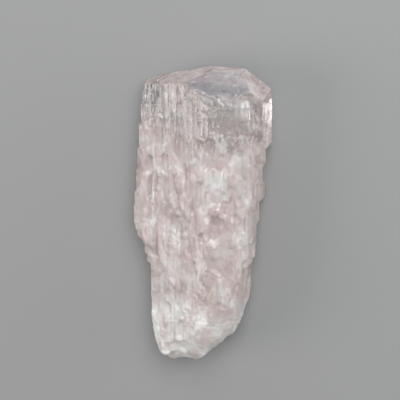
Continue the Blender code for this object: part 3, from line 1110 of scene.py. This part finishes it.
@dataclass(frozen=True)
class Skin:
    """The crystal's surface. Milk, etch and white say what its zones add or take away."""

    depth: int = 8
    fill: float = 0.99
    crisp: float = 40.0
    full_rise: float = 0.07
    wear: float = 0.6
    wear_rounds: int = 3
    rest_level: Pair = (0.7, 0.95)
    rest_height: Pair = (0.02, 0.3)
    milk_body: float = 0.48
    milk_head: float = 0.22
    milk_base: float = 0.15
    milk_faces: float = 0.24
    milk_dome: float = -0.36
    etch_head: float = -0.72
    etch_base: float = -0.1
    white_base: float = 0.42
    white_wander: Waves = Waves((0.5, 0.5, 0.5), 80.0)
    tone_step: Pair = (0.35, 0.6)

    def gather(self) -> bpy.types.Mesh:
        """Cuts the solid's faces into small even ones.

        Returns:
            A mesh with the solid's shape, whose points are about 0.23 mm apart.
        """
        rough = bpy.data.objects.new("rough", copy_solid())
        bpy.context.scene.collection.objects.link(rough)
        remesh = rough.modifiers.new("even", "REMESH")
        remesh.mode = "SHARP"
        remesh.octree_depth = self.depth
        remesh.scale = self.fill
        remesh.use_remove_disconnected = True
        even = apply_modifiers(rough)
        bpy.data.objects.remove(rough)
        return even

    def build(self, relief: Relief, finish: CrystalFinish) -> bpy.types.Object:
        """Builds and dresses the crystal.

        Args:
            relief: Its fine relief.
            finish: Its finish.

        Returns:
            The crystal, in place.
        """
        mesh = self.gather()
        mesh.name = "crystal"
        zones = relief.zones(*read_mesh(mesh))
        web = Web(mesh)
        shaped = self.shape(web, relief, zones)
        write_points(mesh, shaped)
        ridge_light_and_shade = self.ridge_light_and_shade(zones)
        fields = {
            "milk": self.milk(zones),
            "etch": self.etch(zones),
            # The white field takes the ridges' painted highlights on top of the white patches and the base.
            "white": self.white(zones) + np.maximum(ridge_light_and_shade, 0.0),
            # Painted shade of the cracks and grooves along the ridges.
            "painted_shade": np.clip(-ridge_light_and_shade, 0.0, 1.0),
            "crest": self.crest(web, shaped, zones.normals),
        }
        for name, values in fields.items():
            field = mesh.attributes.new(name, "FLOAT", "POINT")
            field.data.foreach_set("value", values.astype(np.float32))
        with editing(mesh) as bm:
            for crack in (*CRACKS, *Wisps().cracks()):
                crack.add(bm)
        mesh.materials.clear()
        mesh.materials.append(finish.make())
        self._shade(mesh)
        crystal = bpy.data.objects.new("crystal", mesh)
        bpy.context.scene.collection.objects.link(crystal)
        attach(crystal, "root")
        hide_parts("danburite_crystal")
        return crystal

    def shape(self, web: Web, relief: Relief, zones: Zones) -> np.ndarray:
        """Wears the skin down and gives it its relief, but for the back that it rests on.

        Args:
            web: The skin's edges.
            relief: Its fine relief.
            zones: Its points and zones.

        Returns:
            The moved points, within the solid's box.
        """
        resting = smooth(-zones.normals[:, 2], *self.rest_level)
        free = 1.0 - resting * (1.0 - smooth(zones.points[:, 2], *self.rest_height))
        worn = self.wear * (1.0 - zones.head) * (1.0 - zones.faces) * free
        moves = relief.heights(zones) * free
        shaped = web.relax(zones.points, worn, self.wear_rounds) + zones.normals * moves[:, None]
        low, high = (np.array(corner) / MM for corner in SOLID_BOX)
        return np.clip(shaped, low, high)

    def milk(self, zones: Zones) -> np.ndarray:
        """How milky each point is, from 0 to 1."""
        part = self.milk_body + (self.milk_head - self.milk_body) * zones.head + self.milk_base * zones.base
        return np.clip(part + self.milk_faces * zones.faces + self.milk_dome * zones.dome, 0.0, 1.0)

    def etch(self, zones: Zones) -> np.ndarray:
        """How rough each point is, from 0 to 1."""
        rough = (1.0 + self.etch_head * zones.head) * (1.0 + self.etch_base * zones.base)
        return rough * (1.0 - zones.faces)

    def white(self, zones: Zones) -> np.ndarray:
        """How much whiter each point is in the patches and the base, from -1 to 1."""
        moved = zones.points + self.white_wander.read(zones.points)[:, None]
        return np.clip(sum(p.amounts(moved) for p in PATCHES) + self.white_base * zones.base, -1.0, 1.0)

    def ridge_light_and_shade(self, zones: Zones) -> np.ndarray:
        """The painted highlight along the ridges at each point, and their painted shade below 0."""
        tone = sum(ridge.tone * ridge.peak(zones.points, zones.ragged) for ridge in RIDGES)
        return tone * smooth(zones.normals[:, 2], *self.tone_step)

    def crest(self, web: Web, points: np.ndarray, normals: np.ndarray) -> np.ndarray:
        """Where the edges and the hollows of the relief are, from -1 in a hollow to 1 on an edge: for its
        painted highlight on the edges and painted shade in the hollows.
        """
        rise = np.einsum("ij,ij->i", points - web.around(points), normals)
        return np.clip(rise / self.full_rise, -1.0, 1.0)

    def _shade(self, mesh: bpy.types.Mesh) -> None:
        """Shades the skin smoothly, but for its sharp edges.

        Args:
            mesh: The skin.
        """
        mesh.update()
        limit = math.radians(self.crisp)
        with editing(mesh) as bm:
            for face in bm.faces:
                face.smooth = True
            for edge in bm.edges:
                edge.smooth = not edge.is_manifold or edge.calc_face_angle(0.0) < limit
        mesh.update()


@dataclass(frozen=True)
class Cloud:
    """The milky heart of the body, a little under the skin."""

    depth: float = 1.1
    uneven: Waves = Waves((0.5, 0.35, 0.5), 90.0, 0.5)
    top: float = 14.5
    voxel: float = 0.55
    rounds: int = 8

    def cut(self) -> bpy.types.Mesh:
        """Cuts the clear head off a copy of the solid.

        Returns:
            The rest, with the cut closed.
        """
        mesh = copy_solid()
        with editing(mesh) as bm:
            cut = bmesh.ops.bisect_plane(
                bm,
                geom=bm.verts[:] + bm.edges[:] + bm.faces[:],
                plane_co=(0.0, self.top * MM, 0.0),
                plane_no=(0.0, 1.0, 0.0),
                clear_outer=True,
            )
            rim = [item for item in cut["geom_cut"] if isinstance(item, bmesh.types.BMEdge)]
            bmesh.ops.edgeloop_fill(bm, edges=rim)
        return mesh

    def build(self, finish: CloudFinish) -> bpy.types.Object:
        """Builds the clouds.

        Args:
            finish: Their finish.

        Returns:
            The clouds, in place.
        """
        cloud = bpy.data.objects.new("inner_cloud", self.cut())
        bpy.context.scene.collection.objects.link(cloud)
        remesh = cloud.modifiers.new("even", "REMESH")
        remesh.mode = "VOXEL"
        remesh.voxel_size = self.voxel * MM
        remesh.use_smooth_shade = True
        relax = cloud.modifiers.new("relax", "SMOOTH")
        relax.iterations = self.rounds
        even = apply_modifiers(cloud)
        cloud.modifiers.clear()
        cloud.data = even
        points, normals = read_mesh(even)
        depth = self.depth + self.uneven.read(points)
        write_points(even, points - normals * depth[:, None])
        even.materials.clear()
        even.materials.append(finish.make())
        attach(cloud, "root")
        return cloud


@dataclass(frozen=True)
class Lamp:
    """A soft rectangular lamp: where it stands, its sides, power and colour, and what it points at."""

    name: str
    spot: Triple
    size: Pair
    power: float
    color: Triple = (1.0, 1.0, 1.0)
    target: Triple = (0.0, 0.0, 0.007)

    def build(self) -> None:
        """Hangs the lamp."""
        light = bpy.data.lights.new(self.name, "AREA")
        light.shape = "RECTANGLE"
        light.size = self.size[0]
        light.size_y = self.size[1]
        light.energy = self.power
        light.color = self.color
        lamp = bpy.data.objects.new(self.name, light)
        lamp.location = self.spot
        aim = Vector(self.spot) - Vector(self.target)
        lamp.rotation_euler = aim.to_track_quat("Z", "Y").to_euler()
        bpy.context.scene.collection.objects.link(lamp)


@dataclass(frozen=True)
class Studio:
    """The floor, the lamps and the air around. The floor lies a little under the crystal."""

    reach: float = 1.5
    sink: float = 0.00004
    air: Triple = (0.62, 0.63, 0.64)
    air_strength: float = 0.55
    lamps: tuple[Lamp, ...] = (
        Lamp("key", (0.16, 0.30, 0.42), (0.36, 0.36), 3.25),
        Lamp("fill", (-0.40, -0.05, 0.24), (0.28, 0.26), 0.95, (1.0, 0.93, 0.90)),
        Lamp("rim", (0.42, 0.10, 0.10), (0.24, 0.14), 0.5),
        Lamp("sky", (-0.13, 0.62, 0.18), (0.42, 0.28), 0.6, (0.62, 0.80, 1.0)),
    )

    def build(self, finish: FloorFinish) -> None:
        """Lays the floor and hangs the lamps.

        Args:
            finish: The floor's finish.
        """
        mesh = bpy.data.meshes.new("floor")
        signs = ((-1, -1), (1, -1), (1, 1), (-1, 1))
        corners = [(x * self.reach, y * self.reach, -self.sink) for x, y in signs]
        mesh.from_pydata(corners, [], [(0, 1, 2, 3)])
        mesh.materials.append(finish.make())
        floor = bpy.data.objects.new("floor", mesh)
        bpy.context.scene.collection.objects.link(floor)
        for lamp in self.lamps:
            lamp.build()
        world = bpy.data.worlds.new("air")
        world.use_nodes = True
        light = world.node_tree.nodes["Background"].inputs
        light["Color"].default_value = (*self.air, 1.0)
        light["Strength"].default_value = self.air_strength
        bpy.context.scene.world = world


@dataclass(frozen=True)
class Viewpoint:
    """The camera, at the angle of the photograph: it leans up and turns to the right."""

    target: Triple = (1.32, 2.15, 7.0)
    lean: float = 22.0
    turn: float = 15.0
    distance: float = 290.0
    lens: float = 139.57
    shift: Pair = (-0.01, 0.03)
    clip_start: float = 0.01

    def build(self) -> None:
        """Sets the camera up and makes it the scene's own."""
        lean, turn = math.radians(self.lean), math.radians(self.turn)
        level = math.cos(lean)
        back = Vector((math.sin(turn) * level, math.sin(lean), math.cos(turn) * level))
        right = Vector((math.cos(turn), 0.0, -math.sin(turn)))
        up = back.cross(right).normalized()
        data = bpy.data.cameras.new("camera")
        data.lens = self.lens
        data.shift_x, data.shift_y = self.shift
        data.clip_start = self.clip_start
        camera = bpy.data.objects.new("camera", data)
        turned = Matrix((right, up, back)).transposed().to_4x4()
        spot = (Vector(self.target) + back * self.distance) * MM
        camera.matrix_world = Matrix.Translation(spot) @ turned
        bpy.context.scene.collection.objects.link(camera)
        bpy.context.scene.camera = camera


BOUNCES = {
    "max_bounces": 24,
    "transmission_bounces": 20,
    "glossy_bounces": 8,
    "diffuse_bounces": 6,
    "transparent_max_bounces": 16,
}


def set_light_paths() -> None:
    """Lets light pass through the crystal often enough, and keeps its colours plain."""
    scene = bpy.context.scene
    for name, count in BOUNCES.items():
        setattr(scene.cycles, name, count)
    scene.cycles.use_denoising = True
    scene.view_settings.view_transform = "Standard"


def report(piece: bpy.types.Object) -> None:
    """Logs how large a piece is.

    Args:
        piece: The piece.
    """
    size = tuple(round(side / MM, 2) for side in piece.dimensions)
    triangles = sum(len(face.vertices) - 2 for face in piece.data.polygons)
    LOG.info("%s: %s mm, %d triangles", piece.name, size, triangles)


def main() -> None:
    """Builds the crystal and the studio around it."""
    logging.basicConfig(level=logging.INFO, format="%(name)s %(message)s")
    Viewpoint().build()
    Studio().build(FloorFinish())
    report(Skin().build(Relief(), CrystalFinish()))
    report(Cloud().build(CloudFinish()))
    set_light_paths()


if __name__ == "__main__":
    main()
